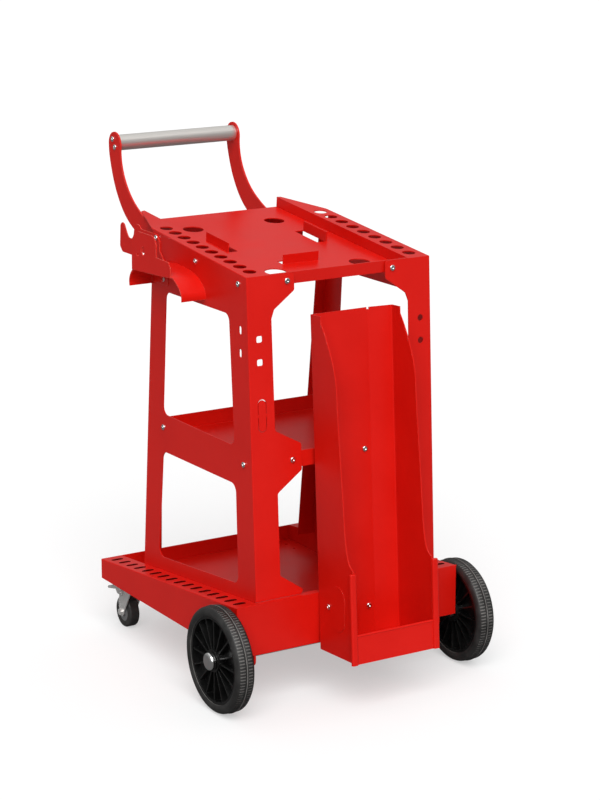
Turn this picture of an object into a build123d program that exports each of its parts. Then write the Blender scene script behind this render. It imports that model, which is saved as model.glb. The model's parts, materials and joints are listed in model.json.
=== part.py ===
"""Welding cart: two bent-sheet side frames, three decks, gas-bottle holder, handle, wheels and casters.

Frame: +Z up, X across the cart, Y along it. The big wheels and the bottle holder are at the -Y end,
the push handle and the swivel casters at the +Y end. Millimetres; the floor is Z = 0.
"""

import os

from math import atan, cos, degrees, radians, sin, tan

from build123d import *

os.makedirs("parts", exist_ok=True)

# ---- driving dimensions -------------------------------------------------------------------------
SHEET = 2.0                 # sheet thickness of every folded panel
FOLD_R = 1.9                # outer radius of the folds
FRAME_HALF = 195.0          # outer face of each side frame
TOP_NEAR_Z = 795.0          # top of the side frames at the wheel end
DECK_SLOPE = 5.4            # the top deck rises towards the handle, degrees
NEAR_LEAN = 2.85            # lean of the wheel-end legs, degrees
FAR_LEAN = 4.8              # lean of the handle-end legs, degrees
FAR_TOP_Y = 349.0           # handle-end top corner of the side panels
FLANGE_INNER = 150.0        # inner edge of the perforated top flanges
DECK_LENGTH = 472.0         # top shelf, measured along its slope
DECK_DEPTH = 20.0           # shelf surface below the flanges

MID_FLOOR_Z = 438.0
MID_LIP = 30.0
MID_FAR_Y = 322.0

BASE_HALF = 240.0
BASE_NEAR_Y = -38.0
BASE_FAR_Y = 504.0
BASE_LOW_Z = 103.0
BASE_NEAR_TOP = 200.0
BASE_FAR_TOP = 142.0
BASE_FLOOR_Z = 110.0
CHANNEL_INNER = 195.0       # inner wall of the slotted side channels

WHEEL_R = 100.0
WHEEL_Y = -13.5
WHEEL_IN = 243.0            # inner side of each big wheel
WHEEL_OUT = 281.0
RIM_R = 82.0
AXLE_R = 8.0
RUNNING = 0.05              # radial clearance of every running fit

CASTER_X = 193.0
CASTER_PIN_Y = 458.0
CASTER_TRAIL = 25.0
CASTER_R = 31.5
CASTER_HALF = 11.0          # half of the caster wheel's width

HOLDER_X = 17.5             # middle of the bottle holder
HOLDER_HALF = 85.5
HOLDER_FOLD = 36.0          # the back is flat from the left wing to this fold right of the middle
HOLDER_CHAMFER = 8.0        # depth of the slanted strip between that fold and the right wing
HOLDER_DEPTH = 120.0
HOLDER_LOW_Z = 92.5
HOLDER_TOP_Z = 716.0
HOLDER_LEAN = 3.4

GRIP_Y = 617.0
GRIP_Z = 950.0
GRIP_R = 15.5
HANDLE_IN = 132.0           # inner face of each handle plate
HANDLE_T = 3.0

SCREW_R = 3.0
SCREW_HEAD_R = 5.5
SCREW_HEAD_H = 3.0

# The pieces are drawn with Y = 0 at the top of the wheel-end legs, then moved by this much along Y,
# so that the row's origin is the middle of the footprint.
ROW_SHIFT_Y = -234.8

# ---- working planes -----------------------------------------------------------------------------
deck = Plane(
    origin=(0, 0, TOP_NEAR_Z),
    x_dir=(1, 0, 0),
    z_dir=(0, -sin(radians(DECK_SLOPE)), cos(radians(DECK_SLOPE))),
)
near_face = Plane(
    origin=(0, 0, TOP_NEAR_Z),
    x_dir=(1, 0, 0),
    z_dir=(0, -cos(radians(NEAR_LEAN)), sin(radians(NEAR_LEAN))),
)
FAR_TOP_Z = TOP_NEAR_Z + FAR_TOP_Y * tan(radians(DECK_SLOPE))
far_face = Plane(
    origin=(0, FAR_TOP_Y, FAR_TOP_Z),
    x_dir=(1, 0, 0),
    z_dir=(0, -cos(radians(FAR_LEAN)), -sin(radians(FAR_LEAN))),
)
base_slope = degrees(atan((BASE_NEAR_TOP - BASE_FAR_TOP) / (BASE_FAR_Y - BASE_NEAR_Y)))
channel_top = Plane(
    origin=(0, BASE_NEAR_Y, BASE_NEAR_TOP),
    x_dir=(1, 0, 0),
    z_dir=(0, sin(radians(base_slope)), cos(radians(base_slope))),
)
HOLDER_BACK_Y = BASE_NEAR_Y - 0.3     # the holder's back passes here at the top of the base's end wall
holder_foot_y = HOLDER_BACK_Y + (HOLDER_LOW_Z - BASE_NEAR_TOP) * tan(radians(HOLDER_LEAN))
holder_foot = Plane(
    origin=(HOLDER_X, holder_foot_y, HOLDER_LOW_Z),
    x_dir=(1, 0, 0),
    z_dir=(0, sin(radians(HOLDER_LEAN)), cos(radians(HOLDER_LEAN))),
)


def near_y(z):
    """Y of the wheel-end legs' outer face at height z."""
    return -(TOP_NEAR_Z - z) * tan(radians(NEAR_LEAN))


def far_y(z):
    """Y of the handle-end legs' outer face at height z."""
    return FAR_TOP_Y + (FAR_TOP_Z - z) * tan(radians(FAR_LEAN))


def channel_z(y):
    """Height of the slotted channels' top at y."""
    return BASE_NEAR_TOP - (y - BASE_NEAR_Y) * tan(radians(base_slope))


def on_near(x, z):
    """A point of the near_face plane, from its x and its height."""
    return (x, (z - TOP_NEAR_Z) / cos(radians(NEAR_LEAN)))


def holder_y(z):
    """Y of the bottle holder's back at height z."""
    return HOLDER_BACK_Y + (z - BASE_NEAR_TOP) * tan(radians(HOLDER_LEAN))


# ---- screw places: local +Z is the way the head faces --------------------------------------------
ear_screws = [
    Location((side * x, near_y(z), z), (90 - NEAR_LEAN, 0, 0))
    for side in (-1, 1)
    for x, z in ((112, 781), (110, 454))
]
left_side_screws = [
    Location((-FRAME_HALF, y, z), (0, -90, 0)) for y, z in ((28, 779), (184, 793), (316, 450), (12, 450))
]
hanger_screws = [
    Location((-FRAME_HALF - SHEET, y, z), (0, -90, 0)) for y, z in ((303, 740), (331, 813), (385, 772))
]
right_side_screws = [
    Location((FRAME_HALF, y, z), (0, 90, 0))
    for y, z in ((28, 779), (184, 793), (303, 805), (316, 450), (12, 450))
]
base_screws = [
    Location((side * (FRAME_HALF - SHEET), y, channel_z(y) - 16), (0, -side * 90, 0))
    for side in (-1, 1)
    for y in (20, 190, 370)
]
HOLDER_SKIN = SHEET / cos(radians(HOLDER_LEAN))     # the leaning sheet's thickness along Y
HOLDER_SCREW_X = 39.4
holder_base_screws = [
    Location((HOLDER_SCREW_X, holder_y(157) - HOLDER_SKIN, 157), (90 - HOLDER_LEAN, 0, 0)),
]
holder_tray_screws = [
    Location((HOLDER_SCREW_X, holder_y(455) - HOLDER_SKIN, 455), (90 - HOLDER_LEAN, 0, 0)),
]
holder_wing_screws = [Location((HOLDER_X - HOLDER_HALF, -74, 183), (0, -90, 0))]
grip_screws = [
    Location((side * (HANDLE_IN + HANDLE_T), GRIP_Y + y, GRIP_Z + z), (0, side * 90, 0))
    for side in (-1, 1)
    for y, z in ((6, 7), (-3, -8))
]
handle_screws = [
    Location((side * (HANDLE_IN + HANDLE_T), y, z), (0, side * 90, 0))
    for side in (-1, 1)
    for y, z in ((380, 789), (430, 794))
]


def drill(places, radius=SCREW_R, reach=24):
    """Cut one screw's clearance hole at each place of the current part."""
    with Locations(*places):
        Cylinder(radius, reach, mode=Mode.SUBTRACT)


def button_screws(places, shank):
    """A group of button-head screws, each head standing on its place."""
    with BuildPart() as group:
        with Locations(*places):
            Cylinder(SCREW_HEAD_R, SCREW_HEAD_H, align=(Align.CENTER, Align.CENTER, Align.MIN))
            Cylinder(SCREW_R - 0.1, shank, align=(Align.CENTER, Align.CENTER, Align.MAX))
        rims = group.edges().filter_by(GeomType.CIRCLE).filter_by(
            lambda edge: abs(edge.radius - SCREW_HEAD_R) < 0.01
        )
        outer = [edge for edge in rims if is_head_rim(edge, places)]
        fillet(outer, 1.8)
        with Locations(*[place * Location((0, 0, SCREW_HEAD_H)) for place in places]):
            Cylinder(1.9, 3.0, mode=Mode.SUBTRACT)
    return group.part


def is_head_rim(edge, places):
    """True when a circle lies on the free side of its screw's head."""
    centre = edge.arc_center
    gaps = [
        (centre - (place * Location((0, 0, SCREW_HEAD_H))).position).length
        for place in places
    ]
    return min(gaps) < 0.05


def finish(solid, label):
    """Name a finished piece, move it to the row frame and write it out."""
    placed = Pos(0, ROW_SHIFT_Y, 0) * solid
    placed.label = label
    export_step(placed, f"parts/{label}.step")


# ---- side frames ---------------------------------------------------------------------------------
leg_outline = [
    (FRAME_HALF, TOP_NEAR_Z),
    (97, TOP_NEAR_Z),
    (97, 763),
    (140, 732),
    (146, 716),
    (145, 512),
    (91, 482),
    (91, 433),
    (143, 396),
    (143, 242),
    (83, BASE_NEAR_TOP + 1),
    (FRAME_HALF, BASE_NEAR_TOP + 1),
]


def side_frame(side, hole_count, square_holes):
    """One side frame, a single folded sheet; side is -1 for left and 1 for right."""
    face = side * FRAME_HALF
    inward = -side * SHEET
    with BuildPart() as frame:
        # side panel, whose foot drops inside the base's channel
        with BuildSketch(Plane.YZ.offset(face)):
            Polygon(
                (0, TOP_NEAR_Z),
                (FAR_TOP_Y, FAR_TOP_Z),
                (far_y(channel_z(400)), channel_z(400)),
                (398, channel_z(400)),
                (398, channel_z(398) - 26),
                (-22, channel_z(-22) - 26),
                (-22, BASE_NEAR_TOP + 1),
                (near_y(BASE_NEAR_TOP + 1), BASE_NEAR_TOP + 1),
                align=None,
            )
        extrude(amount=inward)
        # the two windows with the middle rail between them
        with BuildSketch(Plane.YZ.offset(face)) as upper_window:
            Polygon((63, 718), (299, 716), (318, 476), (46, 477), align=None)
            fillet(upper_window.vertices(), 15)
        extrude(amount=inward, mode=Mode.SUBTRACT)
        with BuildSketch(Plane.YZ.offset(face)) as lower_window:
            Polygon((42, 406), (320, 402), (343, 186), (35, 218), align=None)
            fillet(lower_window.vertices(), 17)
        extrude(amount=inward, mode=Mode.SUBTRACT)
        # wheel-end face with the two screw ears
        with BuildSketch(near_face) as leg_face:
            Polygon(*[on_near(side * x, z) for x, z in leg_outline], align=None)
            inner = leg_face.vertices().filter_by(lambda v: abs(v.X) < FRAME_HALF - 1)
            fillet(inner.filter_by(lambda v: v.Z < TOP_NEAR_Z - 5), 6)
        extrude(amount=-SHEET)
        # handle-end fold, wider towards the foot
        with BuildSketch(far_face):
            foot = -(FAR_TOP_Z - channel_z(400)) / cos(radians(FAR_LEAN))
            Polygon(
                (face, -20),
                (face, foot),
                (face - side * 38, foot),
                (face - side * 22, -60),
                (face - side * 22, -20),
                align=None,
            )
        extrude(amount=SHEET)
        # perforated top flange and the wall down to the shelf
        with BuildSketch(deck):
            Polygon(
                (face, 0),
                (face, 354),
                (side * 156, DECK_LENGTH - 2),
                (side * (FLANGE_INNER - SHEET), DECK_LENGTH),
                (side * (FLANGE_INNER - SHEET), 0),
                align=None,
            )
        extrude(amount=-SHEET)
        pitch = 310 / (hole_count - 1)
        with BuildSketch(deck):
            with Locations(*[(side * 170, 32 + pitch * n) for n in range(hole_count)]):
                Circle(12.5)
        extrude(amount=-SHEET, mode=Mode.SUBTRACT)
        with BuildSketch(deck):
            with Locations((side * (FLANGE_INNER - SHEET / 2), DECK_LENGTH / 2 + 3)):
                Rectangle(SHEET, DECK_LENGTH - 6)
        extrude(amount=-(DECK_DEPTH + SHEET))
        # lamp and hook holes
        with BuildSketch(near_face):
            with Locations(on_near(side * 172, 682), on_near(side * 172, 640)):
                if square_holes:
                    RectangleRounded(12, 12, 3)
                else:
                    Circle(6)
        extrude(amount=-SHEET, mode=Mode.SUBTRACT)
        with BuildSketch(Plane.YZ.offset(face)):
            with Locations((23, 696), (23, 654)):
                SlotOverall(16, 9, rotation=90)
        extrude(amount=inward, mode=Mode.SUBTRACT)
        # knock-out for a cable gland: a slot with two bridges
        if square_holes:
            with BuildSketch(near_face):
                with Locations(on_near(side * 170.5, 543)):
                    SlotOverall(60, 18, rotation=90)
                    SlotOverall(57, 15, rotation=90, mode=Mode.SUBTRACT)
                    Rectangle(30, 5, mode=Mode.SUBTRACT)
            extrude(amount=-SHEET, mode=Mode.SUBTRACT)
        # rounded folds: the wheel-end corner, the handle-end corner and the top edge
        fillet(frame.edges().filter_by(lambda edge: is_fold(edge, side)), FOLD_R)
        drill(ear_screws)
        drill(left_side_screws + hanger_screws[:2] if side < 0 else right_side_screws)
        drill(base_screws)
    return frame.part


def is_fold(edge, side):
    """True for the outer edges of a side frame's folds: the two upright corners and the top one."""
    middle = edge.center()
    outside = abs(middle.X - side * FRAME_HALF) < 0.01
    upright = min(abs(middle.Y - near_y(middle.Z)), abs(middle.Y - far_y(middle.Z))) < 0.1
    on_top = abs(middle.Z - TOP_NEAR_Z - middle.Y * tan(radians(DECK_SLOPE))) < 0.1
    return edge.length > 100 and outside and (upright or on_top)


side_frame_left = side_frame(-1, 10, True)
finish(side_frame_left, "side_frame_left")
side_frame_right = side_frame(1, 9, False)
finish(side_frame_right, "side_frame_right")

# ---- top shelf -----------------------------------------------------------------------------------
SHELF_HALF = FLANGE_INNER - SHEET - 0.2
shelf_low = deck.offset(-(DECK_DEPTH + SHEET))
TAB_H = 18.0
APRON_H = 82.0
with BuildPart() as top_shelf:
    with BuildSketch(shelf_low):
        with Locations((0, DECK_LENGTH / 2 + 1.5)):
            Rectangle(2 * SHELF_HALF, DECK_LENGTH - 3)
    extrude(amount=SHEET)
    # four large cable holes
    with BuildSketch(shelf_low):
        with Locations((-90, 74), (90, 74), (-90, 382), (90, 382)):
            Circle(20)
        # openings left by the three raised tabs
        with Locations((-96, 258), (96, 258)):
            Rectangle(20, 84)
        with Locations((-15, 122)):
            Rectangle(76, 20)
    extrude(amount=SHEET, mode=Mode.SUBTRACT)
    # raised tabs: two along the deck and one across it
    with BuildSketch(shelf_low):
        with Locations((-107, 258), (107, 258)):
            Rectangle(SHEET, 84)
        with Locations((-15, 111)):
            Rectangle(76, SHEET)
    extrude(amount=SHEET + TAB_H)
    # wheel-end lip, as high as the flanges
    with BuildSketch(shelf_low):
        with Locations((0, 4)):
            Rectangle(2 * SHELF_HALF, SHEET)
    extrude(amount=SHEET + DECK_DEPTH)
    # side skirts under the shelf that carry the handle plates
    with BuildSketch(shelf_low):
        with Locations((-(HANDLE_IN - SHEET / 2), 405), (HANDLE_IN - SHEET / 2, 405)):
            Rectangle(SHEET, 126)
    extrude(amount=-32)
    # apron under the handle end, folded down between the skirts
    with BuildSketch(shelf_low):
        with Locations((0, 466)):
            Rectangle(2 * (HANDLE_IN - SHEET / 2), SHEET)
    extrude(amount=-APRON_H)
    drill(ear_screws)
    drill(handle_screws)
finish(top_shelf.part, "top_shelf")

# ---- middle tray ---------------------------------------------------------------------------------
MID_NEAR_Y = near_y(MID_FLOOR_Z + MID_LIP) + SHEET + 0.3
MID_HALF = FRAME_HALF - SHEET
with BuildPart() as middle_tray:
    with Locations((0, (MID_NEAR_Y + MID_FAR_Y) / 2, MID_FLOOR_Z)):
        Box(
            2 * MID_HALF,
            MID_FAR_Y - MID_NEAR_Y,
            MID_LIP,
            align=(Align.CENTER, Align.CENTER, Align.MIN),
        )
    with Locations((0, (MID_NEAR_Y + MID_FAR_Y) / 2, MID_FLOOR_Z + SHEET)):
        Box(
            2 * (MID_HALF - SHEET),
            MID_FAR_Y - MID_NEAR_Y - 2 * SHEET,
            MID_LIP,
            align=(Align.CENTER, Align.CENTER, Align.MIN),
            mode=Mode.SUBTRACT,
        )
    drill(ear_screws)
    drill(left_side_screws)
    drill(right_side_screws)
    drill(holder_tray_screws, reach=40)
finish(middle_tray.part, "middle_tray")

# ---- base tray -----------------------------------------------------------------------------------
def is_base_fold(edge):
    """True for the base's upright outer corners and the top edges of its side walls."""
    middle = edge.center()
    at_end = min(abs(middle.Y - BASE_NEAR_Y), abs(middle.Y - BASE_FAR_Y)) < 0.01
    long_top = abs(middle.Z - channel_z(middle.Y)) < 0.01 and edge.length > 100
    return abs(abs(middle.X) - BASE_HALF) < 0.01 and (long_top or at_end and edge.length > 25)


BASE_LENGTH = BASE_FAR_Y - BASE_NEAR_Y
SLOT_PITCH = 32.5
with BuildPart() as base_tray:
    # floor
    with BuildSketch(Plane.XY.offset(BASE_FLOOR_Z)):
        with Locations((0, (BASE_NEAR_Y + BASE_FAR_Y) / 2)):
            Rectangle(2 * BASE_HALF, BASE_LENGTH)
    extrude(amount=SHEET)
    # tapering outer walls and the inner walls of the channels
    for side in (-1, 1):
        with BuildSketch(Plane.YZ.offset(side * BASE_HALF)):
            Polygon(
                (BASE_NEAR_Y, BASE_LOW_Z),
                (BASE_FAR_Y, BASE_LOW_Z),
                (BASE_FAR_Y, BASE_FAR_TOP),
                (BASE_NEAR_Y, BASE_NEAR_TOP),
                align=None,
            )
        extrude(amount=-side * SHEET)
        with BuildSketch(Plane.YZ.offset(side * CHANNEL_INNER)):
            Polygon(
                (BASE_NEAR_Y, BASE_FLOOR_Z),
                (BASE_FAR_Y, BASE_FLOOR_Z),
                (BASE_FAR_Y, BASE_FAR_TOP),
                (BASE_NEAR_Y, BASE_NEAR_TOP),
                align=None,
            )
        extrude(amount=side * SHEET)
        # slotted top of the channel
        with BuildSketch(channel_top):
            slope_length = BASE_LENGTH / cos(radians(base_slope))
            with Locations((side * (BASE_HALF + CHANNEL_INNER) / 2, slope_length / 2)):
                Rectangle(BASE_HALF - CHANNEL_INNER, slope_length)
        extrude(amount=-SHEET)
        with BuildSketch(channel_top):
            with Locations(*[(side * 218.5, 29 + SLOT_PITCH * n) for n in range(16)]):
                SlotOverall(25, 13)
        extrude(amount=-SHEET, mode=Mode.SUBTRACT)
    # end walls
    with BuildSketch(Plane.XZ.offset(-BASE_NEAR_Y)):
        with Locations((0, (BASE_LOW_Z + BASE_NEAR_TOP) / 2)):
            Rectangle(2 * BASE_HALF, BASE_NEAR_TOP - BASE_LOW_Z)
    extrude(amount=-SHEET)
    with BuildSketch(Plane.XZ.offset(-BASE_FAR_Y)):
        with Locations((0, (BASE_LOW_Z + BASE_FAR_TOP) / 2)):
            Rectangle(2 * BASE_HALF, BASE_FAR_TOP - BASE_LOW_Z)
    extrude(amount=SHEET)
    # hem folded over the wheel-end wall, where the legs stand
    with BuildSketch(Plane.XY.offset(BASE_NEAR_TOP - SHEET)):
        with Locations((0, BASE_NEAR_Y + 7)):
            Rectangle(2 * CHANNEL_INNER, 14)
    extrude(amount=SHEET)
    # clearance for the axle and its tube under the floor
    with Locations((0, WHEEL_Y, WHEEL_R)):
        Cylinder(AXLE_R + 1, 2 * BASE_HALF + 10, rotation=(0, 90, 0), mode=Mode.SUBTRACT)
    # rounded folds along the outer walls
    fillet(base_tray.edges().filter_by(is_base_fold), FOLD_R)
    drill(base_screws)
    drill(holder_base_screws)
    # caster bolt holes
    with Locations((-CASTER_X, CASTER_PIN_Y, BASE_FLOOR_Z), (CASTER_X, CASTER_PIN_Y, BASE_FLOOR_Z)):
        with GridLocations(44, 32, 2, 2):
            Cylinder(SCREW_R, 12, mode=Mode.SUBTRACT)
finish(base_tray.part, "base_tray")

# ---- axle, its brackets and the big wheels ---------------------------------------------------------
AXLE_HALF = WHEEL_OUT + 3
with BuildPart() as axle:
    with Locations((0, WHEEL_Y, WHEEL_R)):
        Cylinder(AXLE_R, 2 * AXLE_HALF, rotation=(0, 90, 0))
    chamfer(axle.edges().filter_by(GeomType.CIRCLE), 1)
finish(axle.part, "axle")


def axle_bracket(side):
    """An angle plate welded under the base that carries the axle."""
    with BuildPart() as bracket:
        with BuildSketch(Plane.YZ.offset(side * 200)) as plate:
            with Locations((WHEEL_Y, BASE_FLOOR_Z - 15)):
                Rectangle(46, 30)
            low = plate.vertices().filter_by(lambda v: v.Z < BASE_FLOOR_Z - 20)
            fillet(low, 12)
            with Locations((WHEEL_Y, WHEEL_R)):
                Circle(AXLE_R, mode=Mode.SUBTRACT)
        extrude(amount=side * 4)
    return bracket.part


for side, name in ((-1, "left"), (1, "right")):
    finish(axle_bracket(side), f"axle_bracket_{name}")

SPOKES = 16
HUB_R = 21.0


def wheel_hub(side):
    """Black plastic wheel centre: a barrel, a rim and sixteen ribs on both sides of a thin web."""
    middle = side * (WHEEL_IN + WHEEL_OUT) / 2
    with BuildPart() as hub:
        with BuildSketch(Plane.YZ.offset(middle)):
            with Locations((WHEEL_Y, WHEEL_R)):
                Circle(RIM_R)
                Circle(RIM_R - 5, mode=Mode.SUBTRACT)
        extrude(amount=15, both=True)
        with BuildSketch(Plane.YZ.offset(middle)):
            with Locations((WHEEL_Y, WHEEL_R)):
                Circle(RIM_R - 4)
        extrude(amount=1.5, both=True)
        with BuildSketch(Plane.YZ.offset(middle)):
            with Locations((WHEEL_Y, WHEEL_R)):
                Circle(HUB_R)
        extrude(amount=16, both=True)
        with BuildSketch(Plane.YZ.offset(middle)):
            with Locations((WHEEL_Y, WHEEL_R)):
                with PolarLocations((RIM_R + HUB_R) / 2 - 2, SPOKES):
                    Rectangle(RIM_R - HUB_R, 2.6)
        extrude(amount=13, both=True)
        with Locations((middle, WHEEL_Y, WHEEL_R)):
            Cylinder(AXLE_R + 3, 60, rotation=(0, 90, 0), mode=Mode.SUBTRACT)
    return hub.part


def wheel_bush(side):
    """Steel bush pressed in the wheel centre; it turns on the axle."""
    middle = side * (WHEEL_IN + WHEEL_OUT) / 2
    with BuildPart() as bush:
        with Locations((middle, WHEEL_Y, WHEEL_R)):
            Cylinder(AXLE_R + 3, 34, rotation=(0, 90, 0))
            Cylinder(AXLE_R + RUNNING, 34, rotation=(0, 90, 0), mode=Mode.SUBTRACT)
    return bush.part


def tyre(side):
    """Solid rubber tyre with a rounded crown, a centre line and cut tread grooves."""
    middle = side * (WHEEL_IN + WHEEL_OUT) / 2
    half = (WHEEL_OUT - WHEEL_IN) / 2
    with BuildPart() as ring:
        with BuildSketch(Plane.XY.offset(0).move(Location((middle, WHEEL_Y, WHEEL_R)))) as section:
            with BuildLine():
                Polyline((-16, RIM_R), (-half, RIM_R + 5), (-half, WHEEL_R - 9))
                ThreePointArc((-half, WHEEL_R - 9), (-half + 4, WHEEL_R - 3), (-half + 10, WHEEL_R - 0.8))
                ThreePointArc((-half + 10, WHEEL_R - 0.8), (0, WHEEL_R), (half - 10, WHEEL_R - 0.8))
                ThreePointArc((half - 10, WHEEL_R - 0.8), (half - 4, WHEEL_R - 3), (half, WHEEL_R - 9))
                Polyline((half, WHEEL_R - 9), (half, RIM_R + 5), (16, RIM_R), (-16, RIM_R))
            make_face()
        revolve(axis=Axis((middle, WHEEL_Y, WHEEL_R), (1, 0, 0)))
    return ring.part


def hub_cap(side):
    """Domed chrome cap driven on the axle's end."""
    face = side * (WHEEL_OUT - 1)
    with BuildPart() as cap:
        with Locations((face + side * 5, WHEEL_Y, WHEEL_R)):
            Cylinder(17, 10, rotation=(0, 90, 0))
        rim = cap.edges().filter_by(GeomType.CIRCLE).sort_by(Axis.X)[-1 if side > 0 else 0]
        fillet(rim, 6)
        with Locations((0, WHEEL_Y, WHEEL_R)):
            Cylinder(AXLE_R, 2 * AXLE_HALF, rotation=(0, 90, 0), mode=Mode.SUBTRACT)
    return cap.part


for side, name in ((-1, "left"), (1, "right")):
    finish(wheel_hub(side), f"wheel_hub_{name}")
    finish(wheel_bush(side), f"wheel_bush_{name}")
    finish(tyre(side), f"tyre_{name}")
    finish(hub_cap(side), f"hub_cap_{name}")

# ---- swivel casters --------------------------------------------------------------------------------
PLATE_Z = BASE_FLOOR_Z - 2.5
CASTER_Y = CASTER_PIN_Y + CASTER_TRAIL
FORK_IN = CASTER_HALF + 1.5
FORK_T = 2.5
FORK_TOP = 84.0
KING_R = 5.0
PEDAL_PIN_Y = 21.0          # brake rivet, measured from the kingpin
PEDAL_PIN_Z = 73.5


def caster(side, name):
    """One swivel caster: top plate, kingpin, fork, wheel, wheel axle and brake pedal."""
    x = side * CASTER_X
    with BuildPart() as plate:
        with Locations((x, CASTER_PIN_Y, PLATE_Z + 1.25)):
            Box(60, 48, 2.5)
        fillet(plate.edges().filter_by(Axis.Z), 6)
        with Locations((x, CASTER_PIN_Y, PLATE_Z)):
            Cylinder(20, 8, align=(Align.CENTER, Align.CENTER, Align.MAX))
        # rounded lower edge of the pressed bearing cup
        fillet(plate.edges().filter_by(GeomType.CIRCLE).sort_by(Axis.Z)[0], 3)
        with Locations((x, CASTER_PIN_Y, PLATE_Z)):
            Cylinder(KING_R, 30, mode=Mode.SUBTRACT)
            with GridLocations(44, 32, 2, 2):
                Cylinder(SCREW_R, 12, mode=Mode.SUBTRACT)
    finish(plate.part, f"caster_plate_{name}")
    with BuildPart() as pin:
        with Locations((x, CASTER_PIN_Y, PLATE_Z + 2.5)):
            Cylinder(KING_R, 33, align=(Align.CENTER, Align.CENTER, Align.MAX))
        with Locations((x, CASTER_PIN_Y, FORK_TOP - 2.9)):
            Cylinder(9, 3.5, align=(Align.CENTER, Align.CENTER, Align.MAX))
    finish(pin.part, f"caster_pin_{name}")
    with BuildPart() as fork:
        # crown
        with BuildSketch(Plane.XY.offset(FORK_TOP)) as crown:
            with Locations((x, CASTER_PIN_Y)):
                Circle(21)
            with Locations((x, CASTER_PIN_Y + 12)):
                Rectangle(2 * (FORK_IN + FORK_T), 30)
            with Locations((x, CASTER_PIN_Y)):
                Circle(KING_R + RUNNING, mode=Mode.SUBTRACT)
        extrude(amount=-FORK_T)
        # pressed race that turns under the cup
        with BuildSketch(Plane.XY.offset(FORK_TOP)):
            with Locations((x, CASTER_PIN_Y)):
                Circle(17)
                Circle(KING_R + RUNNING, mode=Mode.SUBTRACT)
        extrude(amount=PLATE_Z - 8 - 0.4 - FORK_TOP)
        # two cheeks down to the wheel axle
        for cheek in (-1, 1):
            with BuildSketch(Plane.YZ.offset(x + cheek * FORK_IN)):
                with BuildLine():
                    Polyline(
                        (CASTER_PIN_Y - 16, FORK_TOP),
                        (CASTER_PIN_Y + 27, FORK_TOP),
                        (CASTER_Y + 11, 52),
                        (CASTER_Y + 9, CASTER_R),
                    )
                    ThreePointArc(
                        (CASTER_Y + 9, CASTER_R), (CASTER_Y, CASTER_R - 9), (CASTER_Y - 9, CASTER_R)
                    )
                    Polyline((CASTER_Y - 9, CASTER_R), (CASTER_PIN_Y - 16, FORK_TOP))
                make_face()
                with Locations((CASTER_Y, CASTER_R)):
                    Circle(4, mode=Mode.SUBTRACT)
            extrude(amount=cheek * FORK_T)
        with Locations((x, CASTER_PIN_Y + PEDAL_PIN_Y, PEDAL_PIN_Z)):
            Cylinder(2.5, 60, rotation=(0, 90, 0), mode=Mode.SUBTRACT)
    finish(fork.part, f"caster_fork_{name}")
    with BuildPart() as bolt:
        with Locations((x, CASTER_Y, CASTER_R)):
            Cylinder(4, 2 * (FORK_IN + FORK_T), rotation=(0, 90, 0))
            for end in (-1, 1):
                with Locations((end * (FORK_IN + FORK_T + 2), 0, 0)):
                    Cylinder(6.5, 4, rotation=(0, 90, 0))
    finish(bolt.part, f"caster_bolt_{name}")
    with BuildPart() as wheel:
        with BuildSketch(Plane.YZ.offset(x)):
            with Locations((CASTER_Y, CASTER_R)):
                Circle(CASTER_R)
        extrude(amount=CASTER_HALF, both=True)
        fillet(wheel.edges().filter_by(GeomType.CIRCLE), 4)
        with BuildSketch(Plane.YZ.offset(x)):
            with Locations((CASTER_Y, CASTER_R)):
                Circle(19.5)
        extrude(amount=CASTER_HALF, both=True, mode=Mode.SUBTRACT)
    finish(wheel.part, f"caster_tyre_{name}")
    with BuildPart() as core:
        with BuildSketch(Plane.YZ.offset(x)):
            with Locations((CASTER_Y, CASTER_R)):
                Circle(19.5)
                Circle(4 + RUNNING, mode=Mode.SUBTRACT)
        extrude(amount=CASTER_HALF - 1.5, both=True)
        with BuildSketch(Plane.YZ.offset(x)):
            with Locations((CASTER_Y, CASTER_R)):
                Circle(9)
                Circle(4 + RUNNING, mode=Mode.SUBTRACT)
        extrude(amount=CASTER_HALF + 0.8, both=True)
    finish(core.part, f"caster_core_{name}")
    # rivet that the pedal turns on, through both cheeks
    with BuildPart() as rivet:
        with Locations((x, CASTER_PIN_Y + PEDAL_PIN_Y, PEDAL_PIN_Z)):
            Cylinder(2.5, 2 * (FORK_IN + FORK_T) + 11, rotation=(0, 90, 0))
    finish(rivet.part, f"brake_rivet_{name}")
    with BuildPart() as pedal:
        with BuildSketch(Plane.YZ.offset(x)):
            Polygon(
                (CASTER_PIN_Y + 15, 78.5),
                (CASTER_PIN_Y + 40, 83),
                (CASTER_PIN_Y + 72, 74),
                (CASTER_PIN_Y + 74, 70),
                (CASTER_PIN_Y + 71, 69),
                (CASTER_PIN_Y + 40, 76),
                (CASTER_PIN_Y + 33, 69),
                (CASTER_PIN_Y + 15, 68.5),
                align=None,
            )
        extrude(amount=FORK_IN + FORK_T + 4.5, both=True)
        # room for the fork between the pedal's ears
        with Locations((x, CASTER_PIN_Y + 18, 75)):
            Box(2 * (FORK_IN + FORK_T + 0.6), 38, 40, mode=Mode.SUBTRACT)
        with Locations((x, CASTER_PIN_Y + PEDAL_PIN_Y, PEDAL_PIN_Z)):
            Cylinder(2.5 + RUNNING, 60, rotation=(0, 90, 0), mode=Mode.SUBTRACT)
    finish(pedal.part, f"brake_pedal_{name}")


for side, name in ((-1, "left"), (1, "right")):
    caster(side, name)

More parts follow.
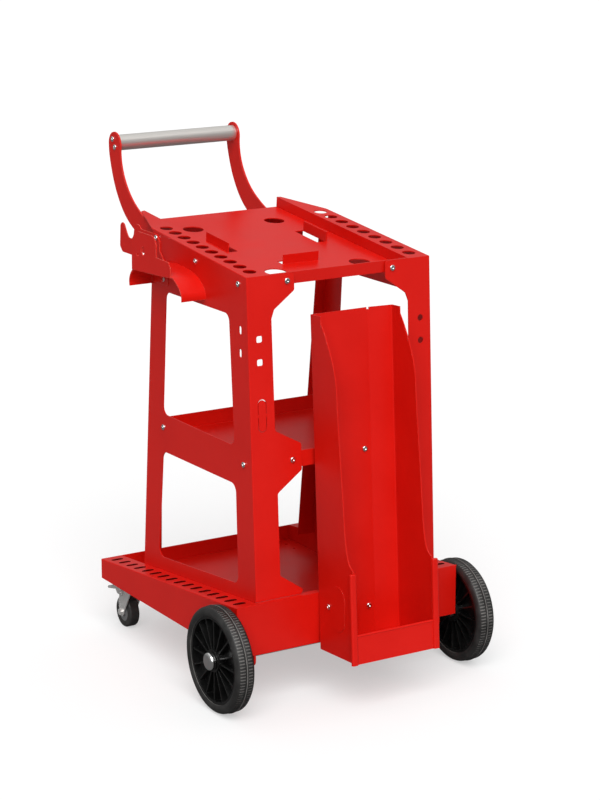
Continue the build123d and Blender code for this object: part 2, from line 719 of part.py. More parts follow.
# ---- gas-bottle holder -----------------------------------------------------------------------------
HOLDER_LENGTH = (HOLDER_TOP_Z - HOLDER_LOW_Z) / cos(radians(HOLDER_LEAN))
front_edge = [
    (35, 612), (47, 594), (65, 558), (77, 525), (82, 470),
    (88, 370), (94, 270), (100, 205), (105, 188), (HOLDER_DEPTH, 174),
]
holder_side = Plane(
    origin=holder_foot.origin, x_dir=(0, -cos(radians(HOLDER_LEAN)), sin(radians(HOLDER_LEAN))),
    z_dir=(-1, 0, 0),
)
with BuildPart() as bottle_holder:
    half, fold, deep = HOLDER_HALF, HOLDER_FOLD, HOLDER_CHAMFER
    with BuildSketch(holder_foot):
        Polygon((-half, -HOLDER_DEPTH), (-half, 0), (fold, 0), (half, -deep), (half, -HOLDER_DEPTH), align=None)
        Polygon(
            (-half + SHEET, -HOLDER_DEPTH - 1), (-half + SHEET, -SHEET), (fold - 0.2, -SHEET),
            (half - SHEET, -deep - 1.6), (half - SHEET, -HOLDER_DEPTH - 1),
            align=None,
            mode=Mode.SUBTRACT,
        )
    extrude(amount=HOLDER_LENGTH)
    # curved front edges of the two wings
    with BuildSketch(holder_side.offset(-HOLDER_HALF - 5)):
        with BuildLine():
            Spline(*front_edge)
            Polyline(
                front_edge[-1], (HOLDER_DEPTH + 9, 174), (HOLDER_DEPTH + 9, HOLDER_LENGTH + 5),
                (35, HOLDER_LENGTH + 5), front_edge[0],
            )
        make_face()
    extrude(amount=2 * HOLDER_HALF + 10, mode=Mode.SUBTRACT)
    fillet(bottle_holder.edges().filter_by(lambda edge: edge.length > 600 and edge.center().Y > holder_y(400) - 12), 2)
    # foot plate that the bottle stands on
    with BuildSketch(holder_foot):
        Polygon(
            (-half + SHEET, -HOLDER_DEPTH), (-half + SHEET, -SHEET), (fold - 0.2, -SHEET),
            (half - SHEET, -deep - 1.6), (half - SHEET, -HOLDER_DEPTH),
            align=None,
        )
    extrude(amount=SHEET)
    # notch at the top of the fold
    with BuildSketch(holder_foot.offset(HOLDER_LENGTH)):
        with Locations((fold, 0)):
            Rectangle(5, 8)
    extrude(amount=-4, mode=Mode.SUBTRACT)
    # pressed oblong panels low on both wings
    for wing in (-1, 1):
        with BuildSketch(Plane.YZ.offset(HOLDER_X + wing * half)):
            with Locations((-105, 187)):
                SlotOverall(86, 48, rotation=90)
        extrude(amount=wing * 1.0)
    drill(holder_base_screws)
    drill(holder_tray_screws)
    drill(holder_wing_screws)
finish(bottle_holder.part, "bottle_holder")

# front lip with two rounded posts, welded between the wings
POST_W = 13.0
LIP_H = 53.0
POST_H = 170.0
with BuildPart() as holder_lip:
    with BuildSketch(holder_foot):
        for post in (-1, 1):
            with Locations((post * (HOLDER_HALF + 3), -HOLDER_DEPTH - 4)):
                RectangleRounded(POST_W, 8, 3.9)
    extrude(amount=POST_H)
    fillet(holder_lip.faces().sort_by(Axis.Z)[-2:].edges(), 2)
    with BuildSketch(holder_foot):
        with Locations((0, -HOLDER_DEPTH - 3)):
            Rectangle(2 * (HOLDER_HALF - 2), SHEET)
    extrude(amount=LIP_H)
    # rolled upper edge
    with BuildSketch(holder_side.offset(-HOLDER_HALF + 3)):
        with Locations((HOLDER_DEPTH + 2.6, LIP_H)):
            Circle(2.4)
    extrude(amount=2 * HOLDER_HALF - 6)
    with BuildSketch(holder_foot):
        with Locations((0, -HOLDER_DEPTH - 1.5)):
            Rectangle(2 * (HOLDER_HALF - 9), 3)
    extrude(amount=SHEET)
finish(holder_lip.part, "holder_lip")

# spacers between the holder and the middle tray
with BuildPart() as holder_spacers:
    gap = MID_NEAR_Y - holder_y(454)
    with Locations(*[place * Location((0, 0, -SHEET)) for place in holder_tray_screws]):
        Cylinder(7, gap - 0.4, align=(Align.CENTER, Align.CENTER, Align.MAX))
        Cylinder(SCREW_R, 30, mode=Mode.SUBTRACT)
finish(holder_spacers.part, "holder_spacers")

# ---- handle ----------------------------------------------------------------------------------------
far_edge = [(642, 946), (640, 925), (633, 900), (621, 870), (604, 842), (582, 817), (548, 794), (480, 776)]
near_edge = [(592, 946), (592, 925), (584, 896), (568, 870), (545, 847), (514, 828), (478, 813), (440, 808)]


def handle_plate(side):
    """A flat curved arm from under the shelf up to the grip."""
    with BuildPart() as plate:
        with BuildSketch(Plane.YZ.offset(side * HANDLE_IN)):
            with BuildLine():
                Spline(*far_edge)
                Polyline(far_edge[-1], (420, 768), (366, 763), (366, 801), near_edge[-1])
                Spline(*near_edge)
                ThreePointArc(near_edge[0], (617, 972), far_edge[0])
            make_face()
        extrude(amount=side * HANDLE_T)
        drill(grip_screws)
        drill(handle_screws)
    return plate.part


for side, name in ((-1, "left"), (1, "right")):
    finish(handle_plate(side), f"handle_plate_{name}")

with BuildPart() as grip_tube:
    with Locations((0, GRIP_Y, GRIP_Z)):
        Cylinder(GRIP_R, 2 * HANDLE_IN, rotation=(0, 90, 0))
        Cylinder(GRIP_R - 2, 2 * HANDLE_IN, rotation=(0, 90, 0), mode=Mode.SUBTRACT)
finish(grip_tube.part, "grip_tube")


def grip_plug(side):
    """Plug welded in the tube's end, tapped for the two grip screws."""
    with BuildPart() as plug:
        with Locations((side * (HANDLE_IN - 8), GRIP_Y, GRIP_Z)):
            Cylinder(GRIP_R - 2, 16, rotation=(0, 90, 0))
        drill(grip_screws, reach=60)
    return plug.part


for side, name in ((-1, "left"), (1, "right")):
    finish(grip_plug(side), f"grip_plug_{name}")

# ---- cable and torch hanger --------------------------------------------------------------------------
HANG_OUT = 50.0
hang_face = -FRAME_HALF
with BuildPart() as hanger:
    # back plate on the frame, with the torch notch beyond the frame's edge
    with BuildSketch(Plane.YZ.offset(hang_face)) as back:
        with BuildLine():
            Polyline(
                (290, 728), (290, 760), (319, 790), (319, 808), (330, 820), (392, 820), (400, 827), (411, 827),
                (420, 816), (422, 808),
            )
            ThreePointArc((422, 808), (437, 795), (450, 802))
            Polyline(
                (450, 802), (461, 819), (469, 822), (477, 816), (480, 774), (470, 764), (430, 764), (404, 728),
                (290, 728),
            )
        make_face()
        fillet(back.vertices().filter_by(lambda v: v.Z < 770 and v.Y > 400), 6)
    extrude(amount=-SHEET)
    # saddle that the cable hangs on, an arch between the frame and the front plate
    with BuildSketch(Plane.YZ.offset(hang_face)):
        with BuildLine():
            Spline(
                (147, 729), (149, 744), (160, 756), (178, 767), (210, 774), (250, 777), (290, 775), (318, 768),
                (338, 757), (349, 744), (351, 724),
            )
            Spline(
                (349, 724), (347, 743), (336, 755), (317, 766), (290, 773), (250, 775), (210, 772), (179, 765),
                (162, 754.5), (151, 743), (149, 729),
            )
            Line((351, 724), (349, 724))
            Line((149, 729), (147, 729))
        make_face()
    extrude(amount=-HANG_OUT)
    # front plate: broad foot and rounded upper part with the screwdriver hole
    with BuildSketch(Plane.YZ.offset(hang_face - HANG_OUT)) as front:
        with BuildLine():
            Polyline((336, 758), (335, 806))
            ThreePointArc((335, 806), (325, 826), (304, 834))
            Line((304, 834), (262, 834))
            ThreePointArc((262, 834), (244, 828), (239, 812))
            Polyline((239, 812), (239, 796), (194, 795), (185, 786), (185, 767), (240, 763), (336, 758))
        make_face()
        with Locations((289, 800)):
            Circle(8, mode=Mode.SUBTRACT)
        with Locations((311, 790)):
            Circle(SCREW_R, mode=Mode.SUBTRACT)
    extrude(amount=-SHEET)
    drill(hanger_screws)
finish(hanger.part, "cable_hanger")

# ---- fasteners ---------------------------------------------------------------------------------------
finish(button_screws(ear_screws, 6.5), "ear_screws")
finish(button_screws(left_side_screws + hanger_screws + right_side_screws, 9), "side_screws")
finish(button_screws(base_screws, 6), "base_screws")
long_screws = button_screws(holder_base_screws + holder_tray_screws, 14)
short_screws = button_screws(holder_wing_screws, 3.5)
finish(long_screws + short_screws, "holder_screws")
finish(button_screws(grip_screws, 14), "grip_screws")
finish(button_screws(handle_screws, 9), "handle_screws")
caster_bolt_places = [
    Location((side * CASTER_X + dx, CASTER_PIN_Y + dy, PLATE_Z), (180, 0, 0))
    for side in (-1, 1)
    for dx in (-22, 22)
    for dy in (-16, 16)
]
finish(button_screws(caster_bolt_places, 4.5), "caster_screws")
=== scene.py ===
# %% [markdown]
# # A welding cart, dressed on its CAD frame
#
# The cart is bent and powder-coated sheet steel on two fixed wheels and two swivel casters. Its
# shape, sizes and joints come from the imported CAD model, which is loaded here as a frame that never
# moves. This lesson gives every piece its finish, rounds the sheet edges the way a coating leaves
# them, models the treaded tyres and the spoked wheel centres, and lights the whole as a product shot.

# %% Load the frame
import json
from math import cos, pi, radians, sin

import bpy
from mathutils import Matrix, Vector


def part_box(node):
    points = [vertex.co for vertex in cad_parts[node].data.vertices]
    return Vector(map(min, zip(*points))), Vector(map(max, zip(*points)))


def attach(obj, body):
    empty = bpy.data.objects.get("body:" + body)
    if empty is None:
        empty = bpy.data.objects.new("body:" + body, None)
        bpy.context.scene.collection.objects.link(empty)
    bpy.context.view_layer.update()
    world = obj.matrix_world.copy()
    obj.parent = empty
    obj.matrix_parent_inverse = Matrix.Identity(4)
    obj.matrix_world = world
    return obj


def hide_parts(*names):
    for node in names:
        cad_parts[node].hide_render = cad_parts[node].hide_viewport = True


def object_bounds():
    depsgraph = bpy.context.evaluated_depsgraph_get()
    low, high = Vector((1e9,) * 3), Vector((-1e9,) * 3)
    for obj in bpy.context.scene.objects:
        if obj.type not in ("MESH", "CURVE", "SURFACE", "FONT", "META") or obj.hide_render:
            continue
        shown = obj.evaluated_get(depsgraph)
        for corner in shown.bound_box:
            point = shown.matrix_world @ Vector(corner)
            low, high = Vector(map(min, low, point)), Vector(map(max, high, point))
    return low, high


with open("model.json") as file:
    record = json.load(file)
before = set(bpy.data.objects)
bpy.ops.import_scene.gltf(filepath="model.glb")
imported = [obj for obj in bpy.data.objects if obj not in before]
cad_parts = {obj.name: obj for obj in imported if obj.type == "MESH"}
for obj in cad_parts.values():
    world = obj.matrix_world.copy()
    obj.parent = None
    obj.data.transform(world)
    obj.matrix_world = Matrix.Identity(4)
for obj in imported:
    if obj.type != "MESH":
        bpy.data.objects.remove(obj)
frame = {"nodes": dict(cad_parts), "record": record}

cad_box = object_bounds()
low, high = (Vector(corner) for corner in cad_box)
nodes = frame["nodes"]
print("nodes", len(nodes), "size", [round(v, 3) for v in high - low])

# %% [markdown]
# ## The camera
#
# A long lens from four and a half metres away keeps the cart's uprights nearly parallel. The camera looks
# from the wheel end and the cart's left, a little above the top deck, along a line through a point
# just left of the cart's middle.

# %% Camera
bpy.context.scene.view_settings.view_transform = "Standard"

leg_top_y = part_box("side_frame_left")[0][1] + 0.030
aim = Vector((-0.084, leg_top_y, 0.558))
azimuth, elevation, away = radians(-31.35), radians(14.5), 4.44
back = Vector((sin(azimuth) * cos(elevation), -cos(azimuth) * cos(elevation), sin(elevation)))
bpy.ops.object.camera_add(location=aim + back * away)
camera = bpy.context.object
camera.rotation_euler = back.to_track_quat("Z", "Y").to_euler()
camera.data.sensor_width = 36
camera.data.lens = 110.6
camera.data.clip_end = 60
bpy.context.scene.camera = camera
print("camera at", [round(v, 2) for v in camera.location])

# %% [markdown]
# ## Shared finish effects
#
# Three effects come back in several materials, so each is a node group that is built once: the faint
# waves of a sprayed powder coat, the fine lines of brushed or drawn metal, and the dusty film that
# rubber gathers. A group puts out only masks and heights, and each material decides how strongly they
# change its colour, its roughness and its bump.

# %% A helper that starts a node group
def new_group(name, inputs, outputs):
    """An empty shader node group with float inputs and outputs of these names."""
    group = bpy.data.node_groups.new(name, "ShaderNodeTree")
    group.interface.new_socket("Vector", in_out="INPUT", socket_type="NodeSocketVector")
    for label, value in inputs.items():
        socket = group.interface.new_socket(label, in_out="INPUT", socket_type="NodeSocketFloat")
        socket.default_value = value
    for label in outputs:
        group.interface.new_socket(label, in_out="OUTPUT", socket_type="NodeSocketFloat")
    return group, group.nodes.new("NodeGroupInput"), group.nodes.new("NodeGroupOutput")


def noise(tree, vector, scale, detail=3.0, rough=0.5):
    """A noise node on a vector, with a fixed or a linked scale."""
    node = tree.nodes.new("ShaderNodeTexNoise")
    node.inputs["Detail"].default_value = detail
    node.inputs["Roughness"].default_value = rough
    tree.links.new(vector, node.inputs["Vector"])
    if isinstance(scale, (int, float)):
        node.inputs["Scale"].default_value = scale
    else:
        tree.links.new(scale, node.inputs["Scale"])
    return node.outputs["Fac"]


def remap(tree, value, in_low, in_high, out_low, out_high):
    """Stretch a value from one range to another, clamped."""
    node = tree.nodes.new("ShaderNodeMapRange")
    for label, number in (
        ("From Min", in_low), ("From Max", in_high), ("To Min", out_low), ("To Max", out_high),
    ):
        node.inputs[label].default_value = number
    tree.links.new(value, node.inputs["Value"])
    return node.outputs["Result"]


# %% Powder coat: orange peel and soft patches
powder_group, given, gives = new_group(
    "powder_coat_texture", {"Peel Scale": 420.0, "Patch Scale": 9.0}, ("Peel", "Patch")
)
links = powder_group.links
peel = noise(powder_group, given.outputs["Vector"], given.outputs["Peel Scale"], 2.0, 0.45)
patch = noise(powder_group, given.outputs["Vector"], given.outputs["Patch Scale"], 4.0, 0.55)
links.new(peel, gives.inputs["Peel"])
links.new(remap(powder_group, patch, 0.3, 0.7, 0.0, 1.0), gives.inputs["Patch"])
print("group", powder_group.name)

# %% Drawn metal: fine lines along one axis
drawn_group, given, gives = new_group(
    "drawn_metal_lines", {"Line Scale": 900.0}, ("Lines", "Cloud")
)
links = drawn_group.links
squeeze = drawn_group.nodes.new("ShaderNodeMapping")
squeeze.inputs["Scale"].default_value = (0.02, 1.0, 1.0)
links.new(given.outputs["Vector"], squeeze.inputs["Vector"])
lines = noise(drawn_group, squeeze.outputs["Vector"], given.outputs["Line Scale"], 2.0, 0.6)
cloud = noise(drawn_group, given.outputs["Vector"], 26.0, 3.0, 0.5)
links.new(lines, gives.inputs["Lines"])
links.new(remap(drawn_group, cloud, 0.3, 0.7, 0.0, 1.0), gives.inputs["Cloud"])
print("group", drawn_group.name)

# %% Moulded rubber and plastic: grain and a dusty film
mould_group, given, gives = new_group(
    "moulded_grain", {"Grain Scale": 1300.0, "Film Scale": 38.0}, ("Grain", "Film")
)
links = mould_group.links
grain = noise(mould_group, given.outputs["Vector"], given.outputs["Grain Scale"], 2.0, 0.6)
film = noise(mould_group, given.outputs["Vector"], given.outputs["Film Scale"], 5.0, 0.6)
links.new(grain, gives.inputs["Grain"])
links.new(remap(mould_group, film, 0.42, 0.72, 0.0, 1.0), gives.inputs["Film"])
print("group", mould_group.name)


# %% [markdown]
# ## The finishes
#
# Each finish is one material with its own Principled shader. The helper lays out what they share:
# Object coordinates into a group, a colour mixed by one mask, a roughness driven by the same mask, and
# a bump. What makes a finish itself, such as its metal, its coat or its sheen, is set on the shader.

# %% A helper that builds one finish
def finish(name, group, colours, mask, roughness, height, bump, metallic=0.0):
    """A material: two colours mixed by a mask, a roughness range by the same mask, and a bump."""
    material = bpy.data.materials.new(name)
    material.use_nodes = True
    tree = material.node_tree
    shader = tree.nodes["Principled BSDF"]
    shader.inputs["Metallic"].default_value = metallic
    place = tree.nodes.new("ShaderNodeTexCoord")
    effect = tree.nodes.new("ShaderNodeGroup")
    effect.node_tree = group
    tree.links.new(place.outputs["Object"], effect.inputs["Vector"])
    mix = tree.nodes.new("ShaderNodeMix")
    mix.data_type = "RGBA"
    mix.inputs["A"].default_value = (*colours[0], 1)
    mix.inputs["B"].default_value = (*colours[1], 1)
    tree.links.new(effect.outputs[mask], mix.inputs["Factor"])
    tree.links.new(mix.outputs["Result"], shader.inputs["Base Color"])
    rough = remap(tree, effect.outputs[mask], 0.0, 1.0, *roughness)
    tree.links.new(rough, shader.inputs["Roughness"])
    relief = tree.nodes.new("ShaderNodeBump")
    relief.inputs["Strength"].default_value = bump[0]
    relief.inputs["Distance"].default_value = bump[1]
    tree.links.new(effect.outputs[height], relief.inputs["Height"])
    tree.links.new(relief.outputs["Normal"], shader.inputs["Normal"])
    return material, shader, effect


# %% Red powder coat
red_coat, shader, effect = finish(
    "red_powder_coat", powder_group,
    colours=((0.600, 0.0065, 0.0030), (0.645, 0.0080, 0.0038)), mask="Patch",
    roughness=(0.28, 0.36), height="Peel", bump=(0.10, 0.0006),
)
shader.inputs["Specular IOR Level"].default_value = 0.22
# Painted highlight: a lighter red for the bevelled sheet edges, standing in for the light they catch.
painted_edge_highlight, shader, effect = finish(
    "red_coat_painted_edge_highlight", powder_group,
    colours=((0.72, 0.050, 0.034), (0.78, 0.066, 0.046)), mask="Patch",
    roughness=(0.24, 0.32), height="Peel", bump=(0.05, 0.0004),
)
shader.inputs["Specular IOR Level"].default_value = 0.6
# Painted highlight, brighter still, for the bevelled cut edges of the holder, its lip and the hanger.
painted_cut_edge_highlight, shader, effect = finish(
    "painted_highlight_on_cut_edges", powder_group,
    colours=((0.82, 0.20, 0.15), (0.88, 0.25, 0.19)), mask="Patch",
    roughness=(0.22, 0.30), height="Peel", bump=(0.05, 0.0004),
)
shader.inputs["Specular IOR Level"].default_value = 0.7
# Painted shade: a near-black red for the walls of the base's slots.
painted_slot_shade, shader, effect = finish(
    "red_coat_painted_shade_in_slots", powder_group,
    colours=((0.060, 0.0016, 0.0010), (0.075, 0.0020, 0.0012)), mask="Patch",
    roughness=(0.50, 0.60), height="Peel", bump=(0.05, 0.0004),
)
shader.inputs["Specular IOR Level"].default_value = 0.1
print("finishes", red_coat.name, painted_edge_highlight.name, painted_slot_shade.name)

# %% Metals
grip_steel, shader, effect = finish(
    "brushed_grip_steel", drawn_group,
    colours=((0.66, 0.635, 0.60), (0.80, 0.775, 0.74)), mask="Lines",
    roughness=(0.30, 0.44), height="Lines", bump=(0.25, 0.0002), metallic=0.82,
)
zinc_plate, shader, effect = finish(
    "bright_zinc_plate", drawn_group,
    colours=((0.70, 0.69, 0.67), (0.82, 0.81, 0.79)), mask="Cloud",
    roughness=(0.18, 0.30), height="Lines", bump=(0.10, 0.0002), metallic=0.55,
)
screw_chrome, shader, effect = finish(
    "screw_chrome", drawn_group,
    colours=((0.74, 0.74, 0.74), (0.84, 0.84, 0.83)), mask="Cloud",
    roughness=(0.08, 0.18), height="Lines", bump=(0.05, 0.0001), metallic=1.0,
)
drawn_bar, shader, effect = finish(
    "drawn_axle_bar", drawn_group,
    colours=((0.50, 0.50, 0.49), (0.63, 0.63, 0.62)), mask="Lines",
    roughness=(0.22, 0.36), height="Lines", bump=(0.15, 0.0002), metallic=1.0,
)
print("metals", [m.name for m in (grip_steel, zinc_plate, screw_chrome, drawn_bar)])

# %% Rubber and plastic
tyre_rubber, shader, effect = finish(
    "tyre_rubber", mould_group,
    colours=((0.013, 0.0125, 0.012), (0.030, 0.029, 0.028)), mask="Film",
    roughness=(0.46, 0.64), height="Grain", bump=(0.25, 0.0003),
)
# Grey rubber for the sunk grooves, as dust; the moulding line takes it too, as a painted highlight.
dust_and_seam_highlight_rubber, shader, effect = finish(
    "tyre_groove_dust_and_seam_highlight", mould_group,
    colours=((0.115, 0.110, 0.104), (0.20, 0.19, 0.18)), mask="Film",
    roughness=(0.70, 0.85), height="Grain", bump=(0.3, 0.0003),
)
hub_plastic, shader, effect = finish(
    "wheel_plastic", mould_group,
    colours=((0.0030, 0.0030, 0.0030), (0.0075, 0.0074, 0.0072)), mask="Film",
    roughness=(0.30, 0.44), height="Grain", bump=(0.15, 0.0002),
)
shader.inputs["Specular IOR Level"].default_value = 0.35
# Painted highlight: a grey for the bevelled edges of the wheel centres' ribs.
painted_rib_highlight, shader, effect = finish(
    "wheel_plastic_painted_edge_highlight", mould_group,
    colours=((0.060, 0.060, 0.060), (0.10, 0.10, 0.098)), mask="Film",
    roughness=(0.25, 0.35), height="Grain", bump=(0.1, 0.0002),
)
caster_tread, shader, effect = finish(
    "caster_tread", mould_group,
    colours=((0.025, 0.024, 0.023), (0.060, 0.058, 0.055)), mask="Film",
    roughness=(0.50, 0.70), height="Grain", bump=(0.2, 0.0003),
)
caster_core, shader, effect = finish(
    "caster_core_plastic", mould_group,
    colours=((0.16, 0.16, 0.162), (0.22, 0.218, 0.215)), mask="Film",
    roughness=(0.38, 0.55), height="Grain", bump=(0.15, 0.0002),
)
print("plastics", [m.name for m in (tyre_rubber, hub_plastic, caster_tread, caster_core)])

# %% Give every CAD node the finish of its record slot
slot_finish = {
    "red_powder_coat": red_coat,
    "grip_steel": grip_steel,
    "zinc": zinc_plate,
    "chrome": screw_chrome,
    "axle_steel": drawn_bar,
    "wheel_plastic": hub_plastic,
    "tyre_rubber": tyre_rubber,
    "caster_rubber": caster_tread,
    "caster_grey": caster_core,
    "pedal_steel": zinc_plate,
}
slot_of = {row["node"]: row["material_slot"] for row in frame["record"]["subparts"]}
for name, node in nodes.items():
    node.data.materials.clear()
    node.data.materials.append(slot_finish[slot_of[name]])
body_of = {node: body for body, names in frame["record"]["behaviour"]["bodies"].items() for node in names}
print("painted", len(nodes), "nodes")

# %% [markdown]
# ## Softened sheet edges
#
# A laser-cut sheet is never knife sharp once it is coated: the powder rounds each edge by less than
# a millimetre, and that rim catches the light. The CAD sheets have exact square edges, so each is
# copied, its loose triangles are merged into clean faces, and its sharp edges get a small bevel. The
# bevel is painted a lighter colour, a painted highlight that stands in for the light the rim catches.
# The copy then stands for the CAD node, which keeps its place in the physics.

# %% Helpers for edit mode
def alone(obj):
    """Make one object the only selected and active one."""
    bpy.ops.object.select_all(action="DESELECT")
    obj.select_set(True)
    bpy.context.view_layer.objects.active = obj


def softened(name, width, rim=None):
    """A copy of a CAD node with merged faces and bevelled sharp edges, standing for the node."""
    source = nodes[name]
    piece = bpy.data.objects.new(f"{name}_skin", source.data.copy())
    bpy.context.scene.collection.objects.link(piece)
    if rim:
        piece.data.materials.append(rim)
    alone(piece)
    bpy.ops.object.mode_set(mode="EDIT")
    bpy.ops.mesh.select_all(action="SELECT")
    bpy.ops.mesh.remove_doubles(threshold=0.00001)
    bpy.ops.mesh.dissolve_limited(angle_limit=radians(0.6))
    bpy.ops.mesh.select_all(action="DESELECT")
    bpy.ops.mesh.select_mode(type="EDGE")
    bpy.ops.mesh.edges_select_sharp(sharpness=radians(38))
    bpy.ops.mesh.bevel(
        offset=width, segments=2, affect="EDGES", clamp_overlap=True, material=1 if rim else -1
    )
    bpy.ops.object.mode_set(mode="OBJECT")
    bpy.ops.object.shade_smooth_by_angle(angle=radians(32))
    bpy.ops.object.modifier_add(type="WEIGHTED_NORMAL")
    piece.modifiers[0].keep_sharp = True
    piece.modifiers[0].weight = 100
    bpy.ops.object.modifier_apply(modifier=piece.modifiers[0].name)
    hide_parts(name)
    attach(piece, body_of[name])
    return piece


# %% Widths of the softened rims, in metres
sheet_rim = 0.0007
hub_rim = 0.0006
caster_rim = 0.0004

# %% Soften the sheets
sheets = [
    "side_frame_left", "side_frame_right", "top_shelf", "middle_tray", "base_tray",
    "bottle_holder", "holder_lip", "cable_hanger", "handle_plate_left", "handle_plate_right",
]
for name in sheets:
    # The holder, its lip and the hanger get the brighter painted highlight on their bevels; the rest get
    # the milder one.
    rim = painted_cut_edge_highlight if name in ("bottle_holder", "holder_lip", "cable_hanger") else painted_edge_highlight
    skin = softened(name, sheet_rim, rim)
    print(skin.name, len(skin.data.polygons), "faces")

# %% [markdown]
# The slots along each side of the base look dark from a low angle, although their walls are lit. A
# near-black red painted on the walls gives that look: it is painted shade, not the sheet's own colour.

# %% Paint shade on the walls of the base's slots
slot_row_inner, slot_row_outer = 0.2045, 0.2325
end_wall_depth = 0.012
steepest_wall = 0.6
base_skin = bpy.data.objects["base_tray_skin"]
base_skin.data.materials.append(painted_slot_shade)
base_low, base_high = (Vector(corner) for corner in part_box("base_tray"))
dark = 0
for face in base_skin.data.polygons:
    in_row = slot_row_inner < abs(face.center.x) < slot_row_outer
    between_ends = base_low.y + end_wall_depth < face.center.y < base_high.y - end_wall_depth
    # Steep faces in the slot rows take the painted shade.
    if in_row and between_ends and abs(face.normal.z) < steepest_wall:
        face.material_index = 2
        dark += 1
print(dark, "slot faces")

# %% [markdown]
# ## Treaded tyres
#
# The tyre is a solid rubber ring. Its crown carries a raised moulding line in the middle and, on
# both sides of it, a row of short cross grooves. It starts as its outline, which is spun round the
# axle in two steps for each groove. The groove faces are then inset and sunk and get a dustier,
# lighter rubber. The moulding line gets the same lighter grey as a painted highlight.

# %% Tyre sizes from the frame
tyre_low, tyre_high = (Vector(corner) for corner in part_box("tyre_left"))
tyre_radius = (tyre_high.z - tyre_low.z) / 2
tyre_centre = (tyre_low + tyre_high) / 2
tyre_width = tyre_high.x - tyre_low.x
rim_radius = 0.082
grooves = 104
groove_inset, groove_depth = 0.0003, 0.0009
moulding_line_half = 0.0009
print("tyre", round(tyre_radius, 4), "wide", round(tyre_width, 4))


# %% Model one tyre about the X axis
def ring_profile():
    """Half the tyre's outline from the crown to the bead: distance from the middle, radius."""
    half = tyre_width / 2
    return [
        (0.0, tyre_radius), (0.0008, tyre_radius - 0.0002), (0.0014, tyre_radius - 0.0012),
        (0.0030, tyre_radius - 0.0009), (half - 0.0075, tyre_radius - 0.0014),
        (half - 0.0052, tyre_radius - 0.0024), (half - 0.0045, tyre_radius - 0.0030),
        (half - 0.0018, tyre_radius - 0.0058), (half, tyre_radius - 0.0105),
        (half, rim_radius + 0.006), (half - 0.0012, rim_radius + 0.003), (half - 0.0030, rim_radius),
    ]


def treaded_tyre(name, centre):
    """A tyre spun from its outline, with grooves sunk in the crown's two bands."""
    profile = ring_profile()
    outline = [(-w, r) for w, r in reversed(profile[1:])] + profile
    bpy.ops.object.select_all(action="DESELECT")
    bpy.ops.mesh.primitive_circle_add(vertices=len(outline), radius=0.01, location=centre)
    ring = bpy.context.object
    ring.name = name
    for vertex, (across, radius) in zip(ring.data.vertices, outline):
        vertex.co = (across, 0.0, radius)
    bpy.ops.object.transform_apply(location=True, rotation=True, scale=True)
    bpy.ops.object.mode_set(mode="EDIT")
    bpy.ops.mesh.select_all(action="SELECT")
    bpy.ops.mesh.spin(steps=2 * grooves, angle=2 * pi, center=centre, axis=(1, 0, 0))
    bpy.ops.mesh.select_all(action="SELECT")
    bpy.ops.mesh.remove_doubles(threshold=0.00002)
    bpy.ops.mesh.normals_make_consistent(inside=False)
    bpy.ops.mesh.select_mode(type="FACE")
    bpy.ops.mesh.select_all(action="DESELECT")
    bpy.ops.object.mode_set(mode="OBJECT")
    pitch = pi / grooves
    band_low, band_high = 0.0031, tyre_width / 2 - 0.0050
    chosen = 0
    for face in ring.data.polygons:
        spot = face.center - centre
        across = abs(spot.x)
        column = int(round(((spot.yz.angle_signed(Vector((0, 1))) + pi) / pitch) - 0.5))
        if band_low < across < band_high and spot.yz.length > tyre_radius - 0.003 and column % 2 == 0:
            face.select = True
            chosen += 1
    bpy.ops.object.mode_set(mode="EDIT")
    bpy.ops.mesh.inset(thickness=groove_inset, depth=0, use_individual=False)
    bpy.ops.mesh.extrude_region_shrink_fatten(TRANSFORM_OT_shrink_fatten={"value": -groove_depth})
    bpy.ops.object.mode_set(mode="OBJECT")
    bpy.ops.object.shade_smooth_by_angle(angle=radians(28))
    ring.data.materials.append(tyre_rubber)
    ring.data.materials.append(dust_and_seam_highlight_rubber)
    # The grooves take the dusty grey; the moulding line takes it as a painted highlight.
    for face in ring.data.polygons:
        if face.select or abs((face.center - centre).x) < moulding_line_half:
            face.material_index = 1
    print(name, chosen, "groove faces,", len(ring.data.polygons), "faces")
    return ring


# %% Two tyres from the one model
tyre_right_centre = sum((Vector(corner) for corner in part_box("tyre_right")), Vector()) / 2
left_tyre = treaded_tyre("treaded_tyre_left", tyre_centre)
right_tyre = left_tyre.copy()
right_tyre.data = left_tyre.data.copy()
right_tyre.name = "treaded_tyre_right"
right_tyre.data.transform(Matrix.Translation(tyre_right_centre - tyre_centre))
bpy.context.scene.collection.objects.link(right_tyre)
for side, ring in (("left", left_tyre), ("right", right_tyre)):
    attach(ring, f"wheel_{side}")
    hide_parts(f"tyre_{side}")

# %% [markdown]
# ## Wheel centres
#
# The centre is one black plastic moulding with sixteen thin ribs. The CAD shape is right, and a
# moulding needs only small radii on its ribs, so it is softened like the sheets; its bevels are painted
# grey, a painted highlight along the ribs. The casters' forks and brake pedals are softened too, with
# a finer rim.

# %% Soften the wheel centres, forks and pedals
for name in ("wheel_hub_left", "wheel_hub_right"):
    # The rims of the wheel centres take the grey painted highlight.
    skin = softened(name, hub_rim, painted_rib_highlight)
    print(skin.name, len(skin.data.polygons), "faces")
for name in ("brake_pedal_left", "brake_pedal_right", "caster_fork_left", "caster_fork_right"):
    skin = softened(name, caster_rim)
    print(skin.name, len(skin.data.polygons), "faces")

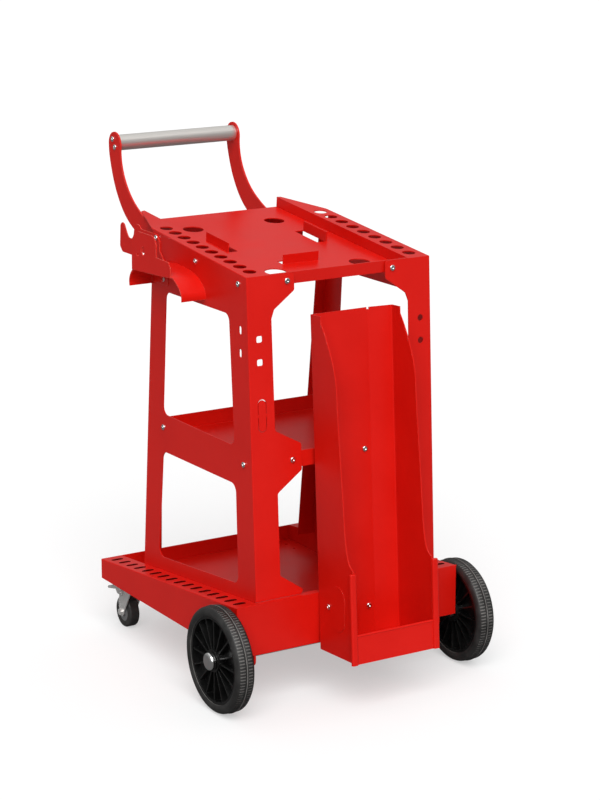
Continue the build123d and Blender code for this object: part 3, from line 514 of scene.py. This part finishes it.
# %% [markdown]
# ## Floor and light
#
# The studio is one white floor under a wide, soft daylight. The floor looks a little brighter than it
# lights its surroundings, as a cut-out product shot does: its shadows stay light, and the coat's
# reflections and the bays between the decks stay deep. A broad sun, wide as a softbox,
# stands in front of the cart and to its left, so that the end with the bottle holder is brightest, the
# long side a little darker and the bays between the decks deep red. A second one, straight above and
# wider still, fills the shadow on the floor. The air around gives only a dim, even light, so that the
# coat keeps its depth; beyond the floor the camera sees plain white.

# %% Floor
bpy.ops.object.select_all(action="DESELECT")
bpy.ops.mesh.primitive_plane_add(size=90, location=(0, 0, 0))
floor = bpy.context.object
floor.name = "studio_floor"
floor_paint = bpy.data.materials.new("studio_floor")
floor_paint.use_nodes = True
floor_shader = floor_paint.node_tree.nodes["Principled BSDF"]
floor_shader.inputs["Base Color"].default_value = (0.50, 0.50, 0.50, 1)
floor_shader.inputs["Roughness"].default_value = 0.9
floor_shader.inputs["Specular IOR Level"].default_value = 0.0
floor_shader.inputs["Emission Color"].default_value = (1, 1, 1, 1)
floor_tree = floor_paint.node_tree
ray = floor_tree.nodes.new("ShaderNodeLightPath")
glow = remap(floor_tree, ray.outputs["Is Camera Ray"], 0.0, 1.0, 0.0, 0.46)
floor_tree.links.new(glow, floor_shader.inputs["Emission Strength"])
tone = remap(floor_tree, ray.outputs["Is Glossy Ray"], 0.0, 1.0, 0.50, 0.14)
floor_tree.links.new(tone, floor_shader.inputs["Base Color"])
floor.data.materials.append(floor_paint)
print("floor", floor.name)


# %% Lights
def soft_sun(name, towards, spread, strength):
    """A sun whose light comes from a direction, spread over an angle in degrees."""
    data = bpy.data.lights.new(name, "SUN")
    data.energy = strength
    data.angle = radians(spread)
    lamp = bpy.data.objects.new(name, data)
    lamp.location = Vector(towards).normalized() * 4
    lamp.rotation_euler = Vector(towards).to_track_quat("Z", "Y").to_euler()
    bpy.context.scene.collection.objects.link(lamp)
    return lamp


soft_sun("key", (-0.36, -0.65, 0.67), 50, 2.98)
soft_sun("overhead", (0.15, 0.1, 1.0), 110, 0.85)

world = bpy.data.worlds.new("studio")
bpy.context.scene.world = world
world.use_nodes = True
world_tree = world.node_tree
air = world_tree.nodes["Background"]
air.inputs["Color"].default_value = (1, 1, 1, 1)
air.inputs["Strength"].default_value = 0.27
